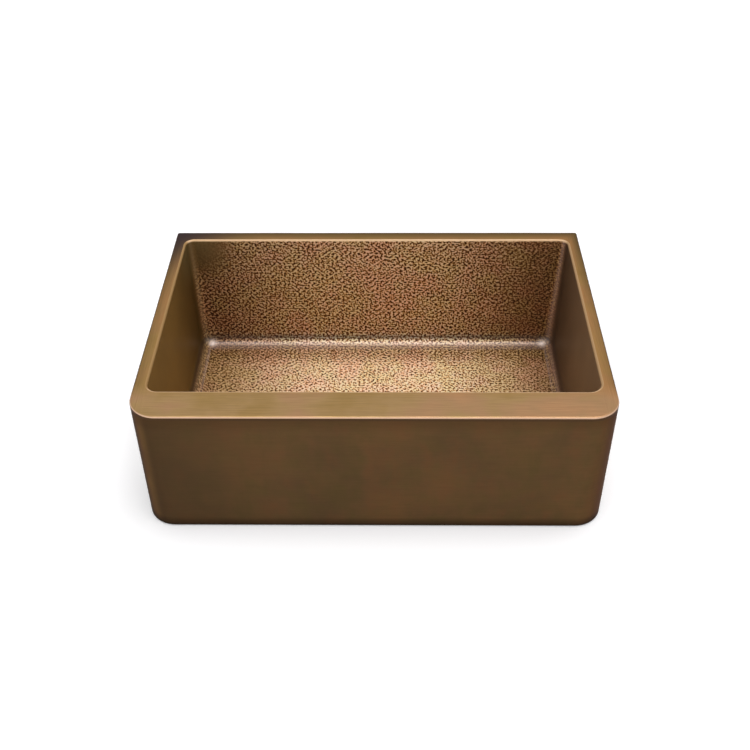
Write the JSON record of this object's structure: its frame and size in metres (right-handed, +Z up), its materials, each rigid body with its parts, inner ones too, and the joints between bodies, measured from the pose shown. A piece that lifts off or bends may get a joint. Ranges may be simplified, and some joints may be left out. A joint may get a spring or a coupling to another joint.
{
  "type": "farmhouse sink",
  "caption": "Double-wall copper apron-front kitchen sink: one deep hammered bowl, smooth rim and apron, and a basket strainer drain whose basket lifts out.",
  "frame": {"origin": "centre of the base plane, on the axis of the drain", "axes": "+X along the sink to the right seen from the front, +Y from the apron to the back, +Z up"},
  "size_m": [0.8382, 0.578, 0.4256],
  "materials": {
    "copper_apron": "brushed copper with a dark brown patina",
    "copper_rim": "brushed copper with a light patina",
    "copper_hammered": "hammered copper, dark in the pits and rubbed bright on the ridges",
    "copper_inner": "mill finish copper sheet",
    "bronze_strainer": "satin bronze to match the copper",
    "brass_nut": "machined brass",
    "brass_tube": "drawn brass",
    "steel": "stainless steel",
    "rubber": "black rubber",
    "fibre_ring": "pressed fibre",
    "nylon": "natural nylon"
  },
  "bodies": {
    "sink": {"apron_wrap": "copper_apron", "back_panel": "copper_apron", "rim_deck": "copper_rim", "hammered_basin": "copper_hammered", "base_pan": "copper_apron", "drain_backing_ring": "copper_inner", "floor_rails": "copper_inner", "apron_stiffeners": "copper_inner", "side_stiffeners": "copper_inner", "back_stiffeners": "copper_inner", "strainer_gasket": "rubber", "strainer_body": "bronze_strainer", "sealing_washer": "rubber", "friction_ring": "fibre_ring", "locknut": "brass_nut", "tailpiece_washer": "nylon", "tailpiece": "brass_tube", "coupling_nut": "brass_nut"},
    "basket": {"basket_cup": "bronze_strainer", "guide_bush": "nylon", "bush_washer": "steel"},
    "stopper": {"stopper_post": "brass_tube", "stopper_knob": "bronze_strainer", "post_clip": "steel", "seal_plate": "steel", "stopper_seal": "rubber", "seal_nut": "brass_nut"}
  },
  "joints": [
    {"name": "basket_lift", "type": "slide", "parent": "sink", "child": "basket", "axis": [0, 0, 1], "range_m": [0, 0.08]},
    {"name": "stopper_lift", "type": "slide", "parent": "basket", "child": "stopper", "axis": [0, 0, 1], "range_m": [0, 0.008]}
  ]
}
